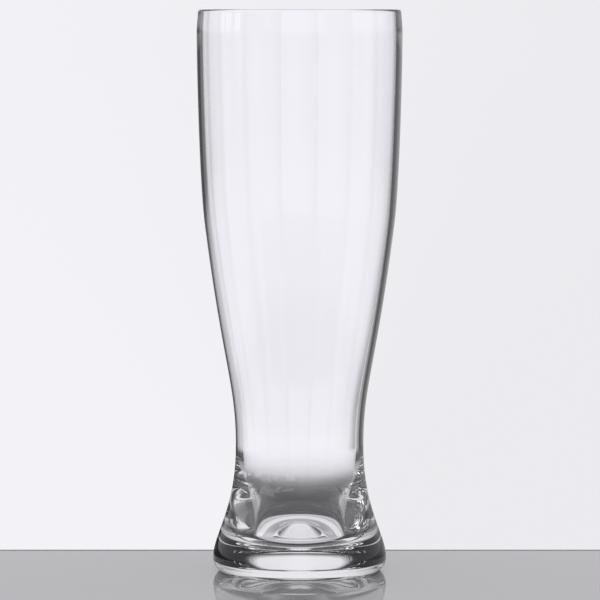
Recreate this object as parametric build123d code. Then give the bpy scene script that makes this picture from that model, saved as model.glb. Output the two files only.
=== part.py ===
from build123d import *
import os
from math import cos, radians, sin

# Tall footed beer glass: a thin flared bowl fused at the waist to a heavy solid foot.
# Millimetres, +Z up, origin at the centre of the ring that the glass stands on.

# Heights
height = 230.0
widest_height = 220.0
shoulder_height = 142.5
waist_height = 52.0
foot_widest_height = 5.1
floor_height = 10.0
dome_height = 4.0

# Outer radii
rim_radius = 41.45
widest_radius = 42.0
shoulder_radius = 38.8
waist_radius = 26.2
foot_radius = 35.6
standing_radius = 32.2

# Wall, from the lip down to the well in the foot
rim_wall = 2.3
widest_wall = 2.5
shoulder_wall = 2.6
waist_wall = 2.9
well_wall_radius = 20.0
well_corner_radius = 5.0

# Lean of the wall at the shoulder, from upright
shoulder_lean = 7.2

# How far each curve runs along its tangent before it turns
lip_reach = 4.0
widest_reach = 10.0
shoulder_reach_up = 18.0
shoulder_reach_down = 58.0
waist_reach_up = 25.0
waist_reach_down = 27.5
foot_reach_up = 10.0
foot_reach_down = 2.6
standing_reach = 0.9
well_reach_up = 10.0
well_reach_down = 20.0
dome_reach = 6.0

# Shallow recess under the foot, inside the standing ring
recess_radius = 30.0
recess_depth = 0.5
recess_slope = 0.5

lip_height = height - rim_wall / 2
lean_out = sin(radians(shoulder_lean))
lean_up = cos(radians(shoulder_lean))


def upright(radius, level, reach):
    return (radius, level + reach)


def along_shoulder(point, reach):
    return (point[0] + reach * lean_out, point[1] + reach * lean_up)


# Outer outline, from the lip down to the standing ring
outer_lip = (rim_radius, lip_height)
outer_widest = (widest_radius, widest_height)
outer_shoulder = (shoulder_radius, shoulder_height)
outer_waist = (waist_radius, waist_height)
outer_foot = (foot_radius, foot_widest_height)
standing = (standing_radius, 0)

# Inner outline, from the lip down to the middle of the domed floor
inner_lip = (rim_radius - rim_wall, lip_height)
inner_widest = (widest_radius - widest_wall, widest_height)
inner_shoulder = (shoulder_radius - shoulder_wall * lean_up, shoulder_height + shoulder_wall * lean_out)
inner_waist = (waist_radius - waist_wall, waist_height)
well_corner = (well_wall_radius, floor_height + well_corner_radius)
floor_edge = (well_wall_radius - well_corner_radius, floor_height)
dome_top = (0, floor_height + dome_height)


def lip_curve(lip, widest):
    return Bezier(lip, upright(*lip, -lip_reach / 2), upright(*widest, lip_reach), widest)


def upper_curve(widest, shoulder):
    return Bezier(
        widest,
        upright(*widest, -widest_reach),
        along_shoulder(shoulder, shoulder_reach_up),
        shoulder,
    )


def lower_curve(shoulder, waist):
    return Bezier(
        shoulder,
        along_shoulder(shoulder, -shoulder_reach_down),
        upright(*waist, waist_reach_up),
        waist,
    )


def make_bowl():
    with BuildPart() as bowl:
        with BuildSketch(Plane.XZ):
            with BuildLine():
                lip_curve(outer_lip, outer_widest)
                upper_curve(outer_widest, outer_shoulder)
                lower_curve(outer_shoulder, outer_waist)
                Line(outer_waist, inner_waist)
                lower_curve(inner_shoulder, inner_waist)
                upper_curve(inner_widest, inner_shoulder)
                lip_curve(inner_lip, inner_widest)
                ThreePointArc(inner_lip, (rim_radius - rim_wall / 2, height), outer_lip)
            make_face()
        revolve(axis=Axis.Z)
    return bowl.part


def make_foot():
    recess_edge = (recess_radius, recess_depth)
    recess_start = (recess_radius + recess_slope, 0)
    recess_middle = (0, recess_depth)
    corner_centre = (floor_edge[0], well_corner[1])
    with BuildPart() as foot:
        with BuildSketch(Plane.XZ):
            with BuildLine():
                Bezier(
                    outer_waist,
                    upright(*outer_waist, -waist_reach_down),
                    upright(*outer_foot, foot_reach_up),
                    outer_foot,
                )
                Bezier(
                    outer_foot,
                    upright(*outer_foot, -foot_reach_down),
                    (standing_radius + standing_reach, 0),
                    standing,
                )
                Polyline(standing, recess_start, recess_edge, recess_middle, dome_top)
                Bezier(
                    dome_top,
                    (dome_reach, dome_top[1]),
                    (floor_edge[0] - dome_reach, floor_height),
                    floor_edge,
                )
                CenterArc(corner_centre, well_corner_radius, 270, 90)
                Bezier(
                    well_corner,
                    upright(*well_corner, well_reach_up),
                    upright(*inner_waist, -well_reach_down),
                    inner_waist,
                )
                Line(inner_waist, outer_waist)
            make_face()
        revolve(axis=Axis.Z)
    return foot.part


os.makedirs("parts", exist_ok=True)
export_step(make_bowl(), "parts/bowl.step")
export_step(make_foot(), "parts/foot.step")
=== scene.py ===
import bpy
import bmesh
import math
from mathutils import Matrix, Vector


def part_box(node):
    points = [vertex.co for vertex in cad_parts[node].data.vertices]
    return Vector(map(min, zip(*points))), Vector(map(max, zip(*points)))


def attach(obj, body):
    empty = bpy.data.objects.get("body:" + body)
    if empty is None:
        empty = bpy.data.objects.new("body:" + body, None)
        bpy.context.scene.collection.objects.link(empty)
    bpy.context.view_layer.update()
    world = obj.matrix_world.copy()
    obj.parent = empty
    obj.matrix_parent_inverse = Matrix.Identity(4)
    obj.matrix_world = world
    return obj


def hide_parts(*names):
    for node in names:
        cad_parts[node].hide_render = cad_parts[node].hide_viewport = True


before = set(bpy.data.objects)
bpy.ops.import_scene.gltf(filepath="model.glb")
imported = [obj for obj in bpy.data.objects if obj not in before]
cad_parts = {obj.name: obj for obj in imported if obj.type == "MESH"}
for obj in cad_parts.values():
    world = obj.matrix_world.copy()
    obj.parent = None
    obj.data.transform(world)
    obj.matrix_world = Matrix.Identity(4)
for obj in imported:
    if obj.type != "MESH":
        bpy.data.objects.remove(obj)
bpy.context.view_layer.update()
mm = 0.001
scene = bpy.context.scene


# shared helpers for node trees
def addNode(tree, kind, values=None, links=None, **settings):
    node = tree.nodes.new(kind)
    for name, value in settings.items():
        setattr(node, name, value)
    for key, value in (values or {}).items():
        node.inputs[key].default_value = value
    for key, socket in (links or {}).items():
        tree.links.new(socket, node.inputs[key])
    return node


def addMath(tree, operation, first, second=None, third=None):
    node = addNode(tree, "ShaderNodeMath", operation=operation)
    for slot, value in enumerate((first, second, third)):
        if isinstance(value, (int, float)):
            node.inputs[slot].default_value = value
        elif value is not None:
            tree.links.new(value, node.inputs[slot])
    return node.outputs[0]


def addRange(tree, value, low, high, least=0.0, most=1.0):
    ends = {"From Min": low, "From Max": high, "To Min": least, "To Max": most}
    return addNode(tree, "ShaderNodeMapRange", links={"Value": value}, values=ends).outputs[0]


def newMaterial(name):
    material = bpy.data.materials.new(name)
    material.use_nodes = True
    return material, material.node_tree


# outline of the glass, shared by the bowl and the foot, in millimetres from the axis and the table
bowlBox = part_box("bowl")
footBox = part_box("foot")
shape = {
    "rimTop": bowlBox[1][2] / mm,
    "widestRadius": bowlBox[1][0] / mm,
    "waistHeight": footBox[1][2] / mm,
    "rimRadius": 41.45,
    "widestHeight": 220.0,
    "shoulderRadius": 38.8,
    "shoulderHeight": 142.5,
    "shoulderLean": math.radians(7.2),
    "waistRadius": 26.2,
    "rimWall": 2.3,
    "widestWall": 2.5,
    "shoulderWall": 2.6,
    "waistWall": 2.9,
}
lean = Vector((math.sin(shape["shoulderLean"]), math.cos(shape["shoulderLean"])))
up = Vector((0, 1))
out = Vector((1, 0))
outerWaist = Vector((shape["waistRadius"], shape["waistHeight"]))
innerWaist = outerWaist - out * shape["waistWall"]


# one smooth knot of an outline: where it is, which way the curve runs, how far each handle reaches
def knot(place, heading, reachIn, reachOut):
    place = Vector(place)
    return place, place - heading * reachIn, place + heading * reachOut


# handle of a straight run
def towards(start, end):
    return start.lerp(end, 1 / 3)


def makeOutline(name, knots, steps, closed):
    curve = bpy.data.curves.new(name, "CURVE")
    curve.dimensions = "3D"
    curve.resolution_u = steps
    spline = curve.splines.new("BEZIER")
    spline.resolution_u = steps
    spline.use_cyclic_u = closed
    spline.bezier_points.add(len(knots) - 1)
    for point, (place, before, after) in zip(spline.bezier_points, knots):
        point.handle_left_type = point.handle_right_type = "FREE"
        point.co = (place.x * mm, place.y * mm, 0)
        point.handle_left = (before.x * mm, before.y * mm, 0)
        point.handle_right = (after.x * mm, after.y * mm, 0)
    return bpy.data.objects.new(name, curve)


# lathe: node tree that turns an outline round the axis and dresses the result
latheMake = {
    "hub": 0.01,
    "crease": math.radians(40),
    "mergeWithin": 0.000002,
    "weldWithin": 0.00001,
}


def makeLathe():
    tree = bpy.data.node_groups.new("turnOutline", "GeometryNodeTree")
    sockets = {
        "Outline": "Object", "Segments": "Int", "Hub": "Float", "Weld Height": "Float",
        "Crease": "Float", "Glass": "Material", "Weld": "Material",
    }
    for label, kind in sockets.items():
        tree.interface.new_socket(label, in_out="INPUT", socket_type="NodeSocket" + kind)
    tree.interface.new_socket("Geometry", in_out="OUTPUT", socket_type="NodeSocketGeometry")
    given = addNode(tree, "NodeGroupInput").outputs
    source = addNode(tree, "GeometryNodeObjectInfo", links={"Object": given["Outline"]})
    inward = addMath(tree, "MULTIPLY", given["Hub"], -1.0)
    shift = addNode(tree, "ShaderNodeCombineXYZ", links={"X": inward})
    moved = addNode(
        tree, "GeometryNodeTransform",
        links={"Geometry": source.outputs["Geometry"], "Translation": shift.outputs[0]},
        values={"Scale": (1, -1, 1)},  # the sweep lays a profile with its y pointing down
    )
    hub = addNode(
        tree, "GeometryNodeCurvePrimitiveCircle",
        links={"Resolution": given["Segments"], "Radius": given["Hub"]},
    )
    upright = addNode(tree, "GeometryNodeSetCurveNormal", links={"Curve": hub.outputs[0]}, mode="Z_UP")
    wall = addNode(
        tree, "GeometryNodeCurveToMesh",
        links={"Curve": upright.outputs[0], "Profile Curve": moved.outputs[0]},
    )
    joined = addNode(
        tree, "GeometryNodeMergeByDistance",
        links={"Geometry": wall.outputs[0]}, values={"Distance": latheMake["mergeWithin"]},
    )
    # creases stay sharp, all other edges are smooth
    bend = addNode(tree, "GeometryNodeInputMeshEdgeAngle")
    soft = addMath(tree, "LESS_THAN", bend.outputs[0], given["Crease"])
    shaded = addNode(
        tree, "GeometryNodeSetShadeSmooth",
        links={"Geometry": joined.outputs[0], "Shade Smooth": soft}, domain="EDGE",
    )
    real = addNode(tree, "GeometryNodeRealizeInstances", links={"Geometry": shaded.outputs[0]})
    glass = addNode(
        tree, "GeometryNodeSetMaterial", links={"Geometry": real.outputs[0], "Material": given["Glass"]},
    )
    # the flat ring where the two pieces are fused
    place = addNode(tree, "GeometryNodeInputPosition")
    height = addNode(tree, "ShaderNodeSeparateXYZ", links={"Vector": place.outputs[0]})
    atWeld = addNode(
        tree, "FunctionNodeCompare", links={0: height.outputs["Z"], 1: given["Weld Height"]},
        values={"Epsilon": latheMake["weldWithin"]}, data_type="FLOAT", operation="EQUAL",
    )
    fused = addNode(
        tree, "GeometryNodeSetMaterial",
        links={"Geometry": glass.outputs[0], "Selection": atWeld.outputs[0], "Material": given["Weld"]},
    )
    addNode(tree, "NodeGroupOutput", links={"Geometry": fused.outputs[0]})
    return tree


def turnPiece(name, outline, tree, settings):
    holder = bpy.data.objects.new(name + "Maker", bpy.data.meshes.new(name + "Maker"))
    scene.collection.objects.link(outline)
    scene.collection.objects.link(holder)
    turning = holder.modifiers.new("turn", "NODES")
    turning.node_group = tree
    sockets = {item.name: item.identifier for item in tree.interface.items_tree if item.in_out == "INPUT"}
    for label, value in dict(settings, Outline=outline).items():
        turning[sockets[label]] = value
    seen = bpy.context.evaluated_depsgraph_get()
    mesh = bpy.data.meshes.new_from_object(holder.evaluated_get(seen), depsgraph=seen)
    holder.modifiers.remove(turning)
    for spare in (holder, outline):
        bpy.data.objects.remove(spare)
    work = bmesh.new()
    work.from_mesh(mesh)
    bmesh.ops.recalc_face_normals(work, faces=work.faces)
    work.to_mesh(mesh)
    work.free()
    mesh.name = name
    piece = bpy.data.objects.new(name, mesh)
    scene.collection.objects.link(piece)
    return piece


# clear soda-lime glass: faint waviness from the mould, a breath of smudges
glassLook = {
    "tint": (0.995, 0.992, 1.0, 1),
    "bend": 1.5,
    "wave": {"Scale": 34.0, "Detail": 1.0, "Roughness": 0.4},
    "waveDepth": 0.000004,
    "smudge": {"Scale": 55.0, "Detail": 5.0, "Roughness": 0.6},
    "smudgeFrom": 0.55,
    "smudgeTo": 0.85,
    "clean": 0.0,
    "smudged": 0.012,
}


def makeGlass():
    look = glassLook
    material, tree = newMaterial("clearGlass")
    shader = tree.nodes["Principled BSDF"]
    shader.inputs["Base Color"].default_value = look["tint"]
    shader.inputs["Transmission Weight"].default_value = 1.0
    shader.inputs["IOR"].default_value = look["bend"]
    where = addNode(tree, "ShaderNodeTexCoord").outputs["Object"]
    smudge = addNode(tree, "ShaderNodeTexNoise", links={"Vector": where}, values=look["smudge"])
    haze = addRange(
        tree, smudge.outputs["Fac"], look["smudgeFrom"], look["smudgeTo"], look["clean"], look["smudged"],
    )
    tree.links.new(haze, shader.inputs["Roughness"])
    wave = addNode(tree, "ShaderNodeTexNoise", links={"Vector": where}, values=look["wave"])
    relief = addNode(
        tree, "ShaderNodeBump", links={"Height": wave.outputs["Fac"]},
        values={"Strength": 1.0, "Distance": look["waveDepth"]},
    )
    tree.links.new(relief.outputs[0], shader.inputs["Normal"])
    return material


# inside the fused ring light passes straight on, as in one piece of glass
def makeWeld():
    material, tree = newMaterial("fusedRing")
    tree.nodes.clear()
    clear = addNode(tree, "ShaderNodeBsdfTransparent")
    addNode(tree, "ShaderNodeOutputMaterial", links={"Surface": clear.outputs[0]})
    return material


lathe = makeLathe()
common = {
    "Hub": latheMake["hub"],
    "Weld Height": shape["waistHeight"] * mm,
    "Crease": latheMake["crease"],
    "Glass": makeGlass(),
    "Weld": makeWeld(),
}
print("materials and lathe ready")


# bowl: thin flared wall with a rounded lip
bowlMake = {
    "steps": 26,
    "segments": 288,
    "lipReach": 0.64,
    "lipDrop": 2.0,
    "lipRise": 4.0,
    "widestReach": 10.0,
    "shoulderUp": 18.0,
    "shoulderDown": 58.0,
    "waistUp": 25.0,
}


def makeBowl():
    make = bowlMake
    lipReach = make["lipReach"]
    rimMiddle = Vector((shape["rimRadius"] - shape["rimWall"] / 2, shape["rimTop"]))
    outerLip = Vector((shape["rimRadius"], shape["rimTop"] - shape["rimWall"] / 2))
    innerLip = outerLip - out * shape["rimWall"]
    outerWidest = Vector((shape["widestRadius"], shape["widestHeight"]))
    innerWidest = outerWidest - out * shape["widestWall"]
    outerShoulder = Vector((shape["shoulderRadius"], shape["shoulderHeight"]))
    innerShoulder = outerShoulder + Vector((-lean.y, lean.x)) * shape["shoulderWall"]
    waistUp = up * make["waistUp"]
    knots = [
        knot(rimMiddle, out, lipReach, lipReach),
        knot(outerLip, -up, lipReach, make["lipDrop"]),
        knot(outerWidest, -up, make["lipRise"], make["widestReach"]),
        knot(outerShoulder, -lean, make["shoulderUp"], make["shoulderDown"]),
        (outerWaist, outerWaist + waistUp, towards(outerWaist, innerWaist)),
        (innerWaist, towards(innerWaist, outerWaist), innerWaist + waistUp),
        knot(innerShoulder, lean, make["shoulderDown"], make["shoulderUp"]),
        knot(innerWidest, up, make["widestReach"], make["lipRise"]),
        knot(innerLip, up, make["lipDrop"], lipReach),
    ]
    outline = makeOutline("bowlOutline", knots, make["steps"], True)
    return turnPiece("glassBowl", outline, lathe, dict(common, Segments=make["segments"]))


bowl = makeBowl()
print("bowl", len(bowl.data.polygons), "faces")


# foot: heavy flare on a tight heel, with the blind well and its domed floor
footMake = {
    "steps": 40,
    "segments": 256,
    "radius": footBox[1][0] / mm,
    "widestHeight": 5.1,
    "waistDown": 27.5,
    "flareUp": 10.0,
    "heelDown": 2.6,
    "heelIn": 0.9,
    "standingRadius": 32.2,
    "recessRadius": 30.0,
    "recessDepth": 0.5,
    "recessSlope": 0.5,
    "floorHeight": 10.0,
    "domeHeight": 4.0,
    "domeReach": 6.0,
    "wellRadius": 20.0,
    "wellCorner": 5.0,
    "quarterArc": 0.5523,  # handle of a quarter circle, as a share of its radius
    "wellUp": 10.0,
    "innerWaistDown": 20.0,
}


def makeFoot():
    make = footMake
    floor = make["floorHeight"]
    arc = make["wellCorner"] * make["quarterArc"]
    domeTop = Vector((0, floor + make["domeHeight"]))
    floorEdge = Vector((make["wellRadius"] - make["wellCorner"], floor))
    wellSide = Vector((make["wellRadius"], floor + make["wellCorner"]))
    widest = Vector((make["radius"], make["widestHeight"]))
    standing = Vector((make["standingRadius"], 0))
    slopeStart = Vector((make["recessRadius"] + make["recessSlope"], 0))
    recess = Vector((make["recessRadius"], make["recessDepth"]))
    middle = Vector((0, make["recessDepth"]))
    knots = [
        (domeTop, domeTop, domeTop + out * make["domeReach"]),
        knot(floorEdge, out, make["domeReach"], arc),
        knot(wellSide, up, arc, make["wellUp"]),
        (innerWaist, innerWaist - up * make["innerWaistDown"], towards(innerWaist, outerWaist)),
        (outerWaist, towards(outerWaist, innerWaist), outerWaist - up * make["waistDown"]),
        knot(widest, -up, make["flareUp"], make["heelDown"]),
        (standing, standing + out * make["heelIn"], towards(standing, slopeStart)),
        (slopeStart, towards(slopeStart, standing), towards(slopeStart, recess)),
        (recess, towards(recess, slopeStart), towards(recess, middle)),
        (middle, towards(middle, recess), middle),
    ]
    outline = makeOutline("footOutline", knots, make["steps"], False)
    return turnPiece("glassFoot", outline, lathe, dict(common, Segments=make["segments"]))


foot = makeFoot()
print("foot", len(foot.data.polygons), "faces")

for piece, node in ((bowl, "bowl"), (foot, "foot")):
    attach(piece, "root")
    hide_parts(node)

# studio: white panels with dark cards between them, all round the glass, and strip lights for reflections
# a Turn is in degrees from straight behind the glass, a Rise in degrees, a Level as a share, a Glow in mm
studio = {
    "backdrop": (0.871, 0.863, 0.896),
    "backdropTurn": [(-8, 1.03), (-4, 1.02), (4, 0.965), (8, 0.96)],
    "cool": (0.99, 0.982, 1.025),
    "leastLight": 0.03,
    "widePanel": [(0, 0.82), (24, 0.8), (34, 0.1), (45, 0.06)],
    "wideRise": [(-90, 0.3), (-24, 1.0), (30, 1.0), (38, 0.0), (90, 0.0)],
    "lowRise": [(-10, 0.0), (-1, 0.0), (1, 1.0), (11, 1.0), (15, 0.0), (30, 0.0)],
    "lowPanel": [(0, 0.8), (28, 0.76), (50, 0.5), (75, 0.0), (180, 0.0)],
    "topRise": [(0, 0.0), (38, 0.0), (46, 0.78), (90, 0.78)],
    "topTurn": [(0, 1.0), (16, 1.0), (28, 0.06), (100, 0.06), (120, 1.0), (180, 1.0)],
    "behindTurn": 30.0,
    "bodyTurn": [
        (-30, 0.7), (-24, 1.0), (-10, 0.95), (-4, 0.93), (4, 0.94), (10, 0.9),
        (13, 0.84), (16, 0.66), (22, 0.2), (30, 0.16),
    ],
    "cardTurn": [
        (-30, 0.34), (-29, 0.33), (-25, 0.15), (-20, 0.07), (-12, 0.05), (-5, 0.06),
        (0, 0.3), (4, 0.5), (8, 0.42), (13, 0.2), (17, 0.08), (21, 0.13), (27, 0.04), (30, 0.04),
    ],
    "lowTurn": [
        (-180, 0.8), (-60, 0.8), (-45, 0.7), (-23, 0.64), (-17, 0.34), (-12, 0.1), (-8, 0.05), (-3, 0.1),
        (0, 0.1), (4, 0.1), (9, 0.3), (13, 0.3), (17, 0.12), (21, 0.04), (34, 0.03), (38, 0.3),
        (45, 0.5), (60, 0.8), (180, 0.8),
    ],
    "stripTurn": [
        (-180, 0.35), (-152, 0.35), (-147, 0.55), (-142, 0.35), (-116, 0.3), (-109, 1.1), (-100, 0.2),
        (-60, 0.05), (-14, 0.05), (-8, 0.75), (8, 0.75), (13, 0.4), (40, 0.35), (60, 0.2), (116, 0.3),
        (122, 0.9), (129, 0.35), (145, 0.35), (151, 0.6), (157, 0.35), (180, 0.35),
    ],
    "levelBoth": [(-0.3, 0), (-0.22, 1), (0.14, 1), (0.22, 0), (0.3, 0)],
    "levelOne": [(-0.3, 0), (-0.22, 1), (-0.02, 1), (0.03, 0), (0.1, 0)],
    "levelPale": [(-0.1, 0), (0.0, 0), (0.03, 0.6), (0.5, 0.6), (0.6, 0), (1, 0)],
    "levelBehind": [(-0.4, 0), (0.4, 1)],
    "speckTurn": [(-180, 0), (-165, 0), (-150, 1), (-70, 1), (-50, 0), (180, 0)],
    "speckScale": 7.0,
    "speckSteps": [(0.0, 0.05), (0.6, 0.1), (0.72, 0.35), (0.8, 1.5), (1.0, 1.8)],
    # the spot, far, near and under entries are painted light and shade on the ground, seen through the
    # glass
    "spotScale": 45.0,
    "spotTurn": [(-74.5, 1), (-51.6, 0)],
    "spotGlow": [(45, 0), (50, 1), (110, 1), (140, 0)],
    "farGlow": [
        (0, 0.055), (58, 0.06), (70, 0.13), (80, 0.25), (92, 0.43), (108, 0.62), (127, 0.74),
        (146, 0.82), (170, 0.88), (230, 0.95), (360, 0.95),
    ],
    "nearGlow": [(0, 0.04), (45, 0.04), (65, 0.5), (130, 0.5), (180, 0.1), (360, 0.1)],
    "underGlow": [(0, 0.48), (17, 0.5), (21, 0.68), (26, 0.6), (28, 0.0), (32, 0.0)],
    "underOval": {"Location": (0, -9, 0), "Scale": (750, 1000, 0)},
    "underOneWall": 0.25,
    "panelsFrom": (260, 360),
    "cardsFrom": (900, 2000),
    # trappedAfter and trapped give a painted even dark grey shade
    "trappedAfter": 9.5,
    "trapped": (0.018, 0.018, 0.019),
}


# grey steps over a range of degrees, millimetres or shares
def addSteps(tree, value, stops):
    first, last = stops[0][0], stops[-1][0]
    most = max(1.0, max(grey for at, grey in stops))
    place = addRange(tree, value, first, last)
    node = addNode(tree, "ShaderNodeValToRGB", links={"Fac": place})
    ramp = node.color_ramp
    while len(ramp.elements) < len(stops):
        ramp.elements.new(1.0)
    for element, (at, grey) in zip(ramp.elements, stops):
        element.position = (at - first) / (last - first)
        element.color = (grey / most, grey / most, grey / most, 1)
    return addMath(tree, "MULTIPLY", node.outputs["Color"], most)


def addMix(tree, factor, first, second):
    node = addNode(tree, "ShaderNodeMix", data_type="RGBA", links={"Factor": factor, "A": first})
    if isinstance(second, tuple):
        node.inputs["B"].default_value = (*second, 1)
    else:
        tree.links.new(second, node.inputs["B"])
    return node.outputs["Result"]


def addTint(tree, light, tint):
    node = addNode(tree, "ShaderNodeVectorMath", operation="MULTIPLY", links={0: light}, values={1: tint})
    return node.outputs[0]


def addLength(tree, vector):
    return addNode(tree, "ShaderNodeVectorMath", operation="LENGTH", links={0: vector}).outputs["Value"]


def addAxes(tree, vector):
    return addNode(tree, "ShaderNodeSeparateXYZ", links={"Vector": vector}).outputs


def addTurn(tree, axis):
    return addMath(tree, "DEGREES", addMath(tree, "ARCTAN2", axis["X"], axis["Y"]))


# small cells, a few of them bright
def addSpecks(tree, where, scale):
    cells = addNode(tree, "ShaderNodeTexVoronoi", links={"Vector": where}, values={"Scale": scale})
    chance = addNode(tree, "ShaderNodeSeparateColor", links={"Color": cells.outputs["Color"]}).outputs[0]
    return addSteps(tree, chance, studio["speckSteps"])


# light from a direction: the open room, through both walls, through one bent wall, and as a reflection
def makeRing():
    tree = bpy.data.node_groups.new("panelRing", "ShaderNodeTree")
    tree.interface.new_socket("Direction", in_out="INPUT", socket_type="NodeSocketVector")
    for label in ("Wide", "Spotted", "Body", "Card", "Low", "Strip"):
        tree.interface.new_socket(label, in_out="OUTPUT", socket_type="NodeSocketColor")
    where = addNode(tree, "NodeGroupInput").outputs["Direction"]
    axis = addAxes(tree, where)
    turn = addTurn(tree, axis)
    sideways = addMath(tree, "ABSOLUTE", turn)
    rise = addMath(tree, "DEGREES", addMath(tree, "ARCSINE", axis["Z"]))
    height = addSteps(tree, rise, studio["wideRise"])
    top = addSteps(tree, rise, studio["topRise"])
    overhead = addMath(tree, "MULTIPLY", top, addSteps(tree, sideways, studio["topTurn"]))
    lowSide = addSteps(tree, sideways, studio["lowPanel"])
    low = addMath(tree, "MULTIPLY", addSteps(tree, rise, studio["lowRise"]), lowSide)

    def addRoom(panels):
        lit = addMath(tree, "MAXIMUM", addMath(tree, "MULTIPLY", panels, height), low)
        return addMath(tree, "ADD", addMath(tree, "ADD", lit, overhead), studio["leastLight"])

    # wide panels stand every 90 degrees, and the front left is broken up into small bright spots
    quarter = addMath(tree, "WRAP", turn, 45.0, -45.0)
    panel = addSteps(tree, addMath(tree, "ABSOLUTE", quarter), studio["widePanel"])
    specks = addSpecks(tree, where, studio["speckScale"])
    spotted = addMix(tree, addSteps(tree, turn, studio["speckTurn"]), panel, specks)
    # bodyTurn and cardTurn hold straight behind the glass, and come again every 45 degrees
    again = addMath(tree, "WRAP", turn, 22.5, -22.5)
    behind = addMath(tree, "LESS_THAN", sideways, studio["behindTurn"])
    extra = addMath(tree, "MULTIPLY", behind, addMath(tree, "SUBTRACT", turn, again))
    step = addMath(tree, "ADD", again, extra)
    strips = addMath(tree, "MULTIPLY", addSteps(tree, turn, studio["stripTurn"]), height)
    made = {
        "Wide": addRoom(panel),
        "Spotted": addRoom(spotted),
        "Body": addSteps(tree, step, studio["bodyTurn"]),
        "Card": addSteps(tree, step, studio["cardTurn"]),
        "Low": addSteps(tree, turn, studio["lowTurn"]),
        "Strip": addMath(tree, "ADD", strips, top),
    }
    addNode(tree, "NodeGroupOutput", links=made)
    return tree


panelRing = makeRing()


def addRing(tree, where):
    return addNode(tree, "ShaderNodeGroup", node_tree=panelRing, links={"Direction": where}).outputs


# one for light that passed two faces of glass, a single wall, as at the edges of the bowl
def addOneWall(tree, path):
    above = addMath(tree, "GREATER_THAN", path["Transmission Depth"], 1.5)
    return addMath(tree, "MULTIPLY", above, addMath(tree, "LESS_THAN", path["Transmission Depth"], 2.5))


# light that ran round and round in the foot is painted as an even dark grey shade
def addTrapped(tree, path, light):
    deep = addMath(tree, "GREATER_THAN", path["Glossy Depth"], studio["trappedAfter"])
    return addMix(tree, deep, light, studio["trapped"])


# plain backdrop for the camera, a little darker to the right
def addBackdrop(tree, where):
    shade = addSteps(tree, addTurn(tree, addAxes(tree, where)), studio["backdropTurn"])
    return addTint(tree, shade, studio["backdrop"])


def makeWorld():
    world = bpy.data.worlds.new("studio")
    world.use_nodes = True
    tree = world.node_tree
    shown = tree.nodes["Background"]
    where = addNode(tree, "ShaderNodeTexCoord").outputs["Generated"]
    axis = addAxes(tree, where)
    ring = addRing(tree, where)
    path = addNode(tree, "ShaderNodeLightPath").outputs
    oneWall = addOneWall(tree, path)
    levelBoth = addSteps(tree, axis["Z"], studio["levelBoth"])
    levelOne = addSteps(tree, axis["Z"], studio["levelOne"])
    walls = addMix(tree, oneWall, ring["Body"], ring["Card"])
    behind = addSteps(tree, axis["Y"], studio["levelBehind"])
    room = addMix(tree, behind, ring["Strip"], ring["Wide"])
    room = addMix(tree, oneWall, room, ring["Spotted"])
    light = addMix(tree, addMix(tree, oneWall, levelBoth, levelOne), room, walls)
    # the table mirrors a pale room all round
    outside = addMath(tree, "LESS_THAN", path["Transmission Depth"], 0.5)
    pale = addMath(tree, "MULTIPLY", addSteps(tree, axis["Z"], studio["levelPale"]), outside)
    mirrored = addMath(tree, "MAXIMUM", ring["Strip"], pale)
    light = addMix(tree, path["Is Reflection Ray"], light, mirrored)
    light = addTrapped(tree, path, addTint(tree, light, studio["cool"]))
    light = addMix(tree, path["Is Camera Ray"], light, addBackdrop(tree, where))
    tree.links.new(light, shown.inputs["Color"])
    return world


# painted light on the ground, an emission seen only by light that comes through the glass: a painted pale
# pool below it, painted shade close round it
def addPaintedGroundLight(tree, path):
    where = addNode(tree, "ShaderNodeTexCoord").outputs["Object"]
    axis = addAxes(tree, where)
    flat = addNode(tree, "ShaderNodeCombineXYZ", links={"X": axis["X"], "Y": axis["Y"]}).outputs[0]
    reach = addMath(tree, "DIVIDE", addLength(tree, flat), mm)
    oneWall = addOneWall(tree, path)
    # a painted oval pool of light right below
    oval = addNode(tree, "ShaderNodeMapping", links={"Vector": flat}, values=studio["underOval"])
    spot = addSteps(tree, addLength(tree, oval.outputs[0]), studio["underGlow"])
    lost = addMath(tree, "MULTIPLY", oneWall, 1 - studio["underOneWall"])
    under = addMath(tree, "MULTIPLY", spot, addMath(tree, "SUBTRACT", 1.0, lost))
    # close by on the front left there are painted bright spots as well
    left = addSteps(tree, addTurn(tree, axis), studio["spotTurn"])
    spots = addMath(tree, "MULTIPLY", left, addSteps(tree, reach, studio["spotGlow"]))
    spots = addMath(tree, "MULTIPLY", spots, oneWall)
    around = addSteps(tree, reach, studio["farGlow"])
    around = addMix(tree, oneWall, around, addSteps(tree, reach, studio["nearGlow"]))
    around = addMix(tree, spots, around, addSpecks(tree, flat, studio["spotScale"]))
    glow = addMath(tree, "MAXIMUM", around, under)
    # further off the ground is painted as bright as the panels and cards above it
    ring = addRing(tree, flat)
    cards = addMix(tree, addRange(tree, reach, *studio["cardsFrom"]), ring["Low"], ring["Card"])
    walls = addMix(tree, oneWall, ring["Body"], cards)
    light = addMix(tree, addRange(tree, reach, *studio["panelsFrom"]), glow, walls)
    return addTrapped(tree, path, addTint(tree, light, studio["cool"]))


# table: polished grey top that mirrors the glass and shows painted light to light through the glass, a
# dull rim along its far edge, white beyond
tableLook = {
    "edge": 0.059,
    "reach": 4,
    "grey": (0.5, 0.5, 0.5, 1),
    "bend": 1.55,
    "polish": 0.03,
    "rimGrey": (0.32, 0.32, 0.33, 1),
    "rimDull": 0.6,
    "rimWidth": 0.003,
    "rimLevel": 0.00002,
    "sweepSide": 8,
    "sweepFar": 12,
    "sweepLevel": -0.0005,
}


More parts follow.
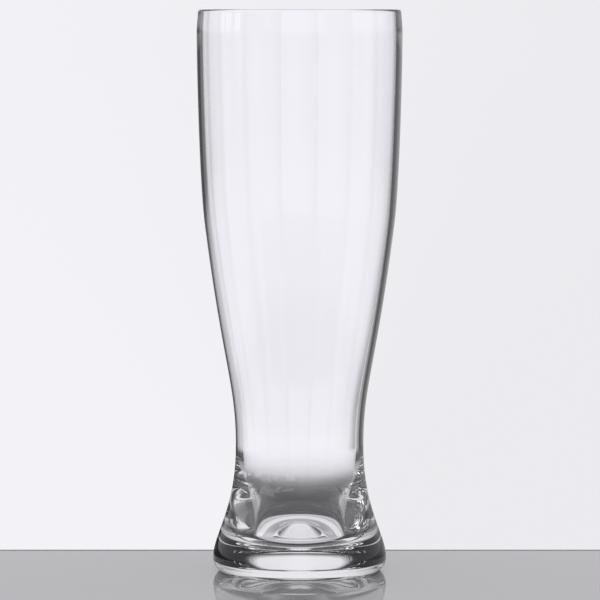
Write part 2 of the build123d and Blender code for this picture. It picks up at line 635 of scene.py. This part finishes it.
def makeTableTop():
    material, tree = newMaterial("polishedTableAndPaintedLight")
    shader = tree.nodes["Principled BSDF"]
    shader.inputs["Base Color"].default_value = tableLook["grey"]
    shader.inputs["IOR"].default_value = tableLook["bend"]
    shader.inputs["Roughness"].default_value = tableLook["polish"]
    path = addNode(tree, "ShaderNodeLightPath").outputs
    # light that comes through the glass sees painted light here: an emission, not the lit top
    glow = addNode(tree, "ShaderNodeEmission", links={"Color": addPaintedGroundLight(tree, path)})
    both = addNode(
        tree, "ShaderNodeMixShader",
        links={0: path["Is Transmission Ray"], 1: shader.outputs[0], 2: glow.outputs[0]},
    )
    tree.links.new(both.outputs[0], tree.nodes["Material Output"].inputs["Surface"])
    return material


def makeTableRim():
    material, tree = newMaterial("tableRim")
    shader = tree.nodes["Principled BSDF"]
    shader.inputs["Base Color"].default_value = tableLook["rimGrey"]
    shader.inputs["Roughness"].default_value = tableLook["rimDull"]
    return material


def makeSweep():
    material, tree = newMaterial("whiteSweep")
    tree.nodes.clear()
    path = addNode(tree, "ShaderNodeLightPath").outputs
    where = addNode(tree, "ShaderNodeTexCoord").outputs["Object"]
    # reflections see painted strip lights on the sweep, and light through the glass sees the painted
    # ground light
    mirrored = addTint(tree, addRing(tree, where)["Strip"], studio["cool"])
    light = addMix(tree, path["Is Reflection Ray"], addBackdrop(tree, where), mirrored)
    light = addMix(tree, path["Is Transmission Ray"], light, addPaintedGroundLight(tree, path))
    glow = addNode(tree, "ShaderNodeEmission", links={"Color": light})
    addNode(tree, "ShaderNodeOutputMaterial", links={"Surface": glow.outputs[0]})
    return material


def makeSheet(name, side, near, far, level, material):
    corners = [(-side, near, level), (side, near, level), (side, far, level), (-side, far, level)]
    mesh = bpy.data.meshes.new(name)
    mesh.from_pydata(corners, [], [(0, 1, 2, 3)])
    mesh.materials.append(material)
    sheet = bpy.data.objects.new(name, mesh)
    scene.collection.objects.link(sheet)
    return sheet


def makeStage():
    look = tableLook
    edge, reach = look["edge"], look["reach"]
    makeSheet("tableTop", reach, -reach, edge, 0, makeTableTop())
    rim = makeSheet("tableRim", reach, edge - look["rimWidth"], edge, look["rimLevel"], makeTableRim())
    rim.visible_transmission = False  # no line through the glass
    makeSheet("sweep", look["sweepSide"], edge, look["sweepFar"], look["sweepLevel"], makeSweep())


scene.world = makeWorld()
makeStage()
print("studio ready")

# camera: level with the rim, looking slightly down
view = {
    "distance": 1.57,
    "height": 0.230,
    "metresPerPixel": 0.0004094,
    "pixels": 600,
    "tablePixel": 572,
    "axisPixel": 299.6,
    "sensor": 36,
}


def makeCamera():
    data = bpy.data.cameras.new("view")
    camera = bpy.data.objects.new("view", data)
    scene.collection.objects.link(camera)
    scale = view["metresPerPixel"]
    middle = view["pixels"] / 2
    side = (middle - view["axisPixel"]) * scale
    aim = Vector((side, 0, (view["tablePixel"] - middle) * scale))
    camera.location = (side, -view["distance"], view["height"])
    sight = aim - camera.location
    camera.rotation_euler = sight.to_track_quat("-Z", "Y").to_euler()
    data.sensor_width = view["sensor"]
    data.lens = view["sensor"] * sight.length / (scale * view["pixels"])
    data.clip_start = 0.01
    scene.camera = camera


makeCamera()
print("camera ready")

# many bounces for the thick foot
scene.view_settings.view_transform = "Standard"
scene.cycles.max_bounces = 80
scene.cycles.transmission_bounces = 32
scene.cycles.glossy_bounces = 64
scene.cycles.transparent_max_bounces = 32
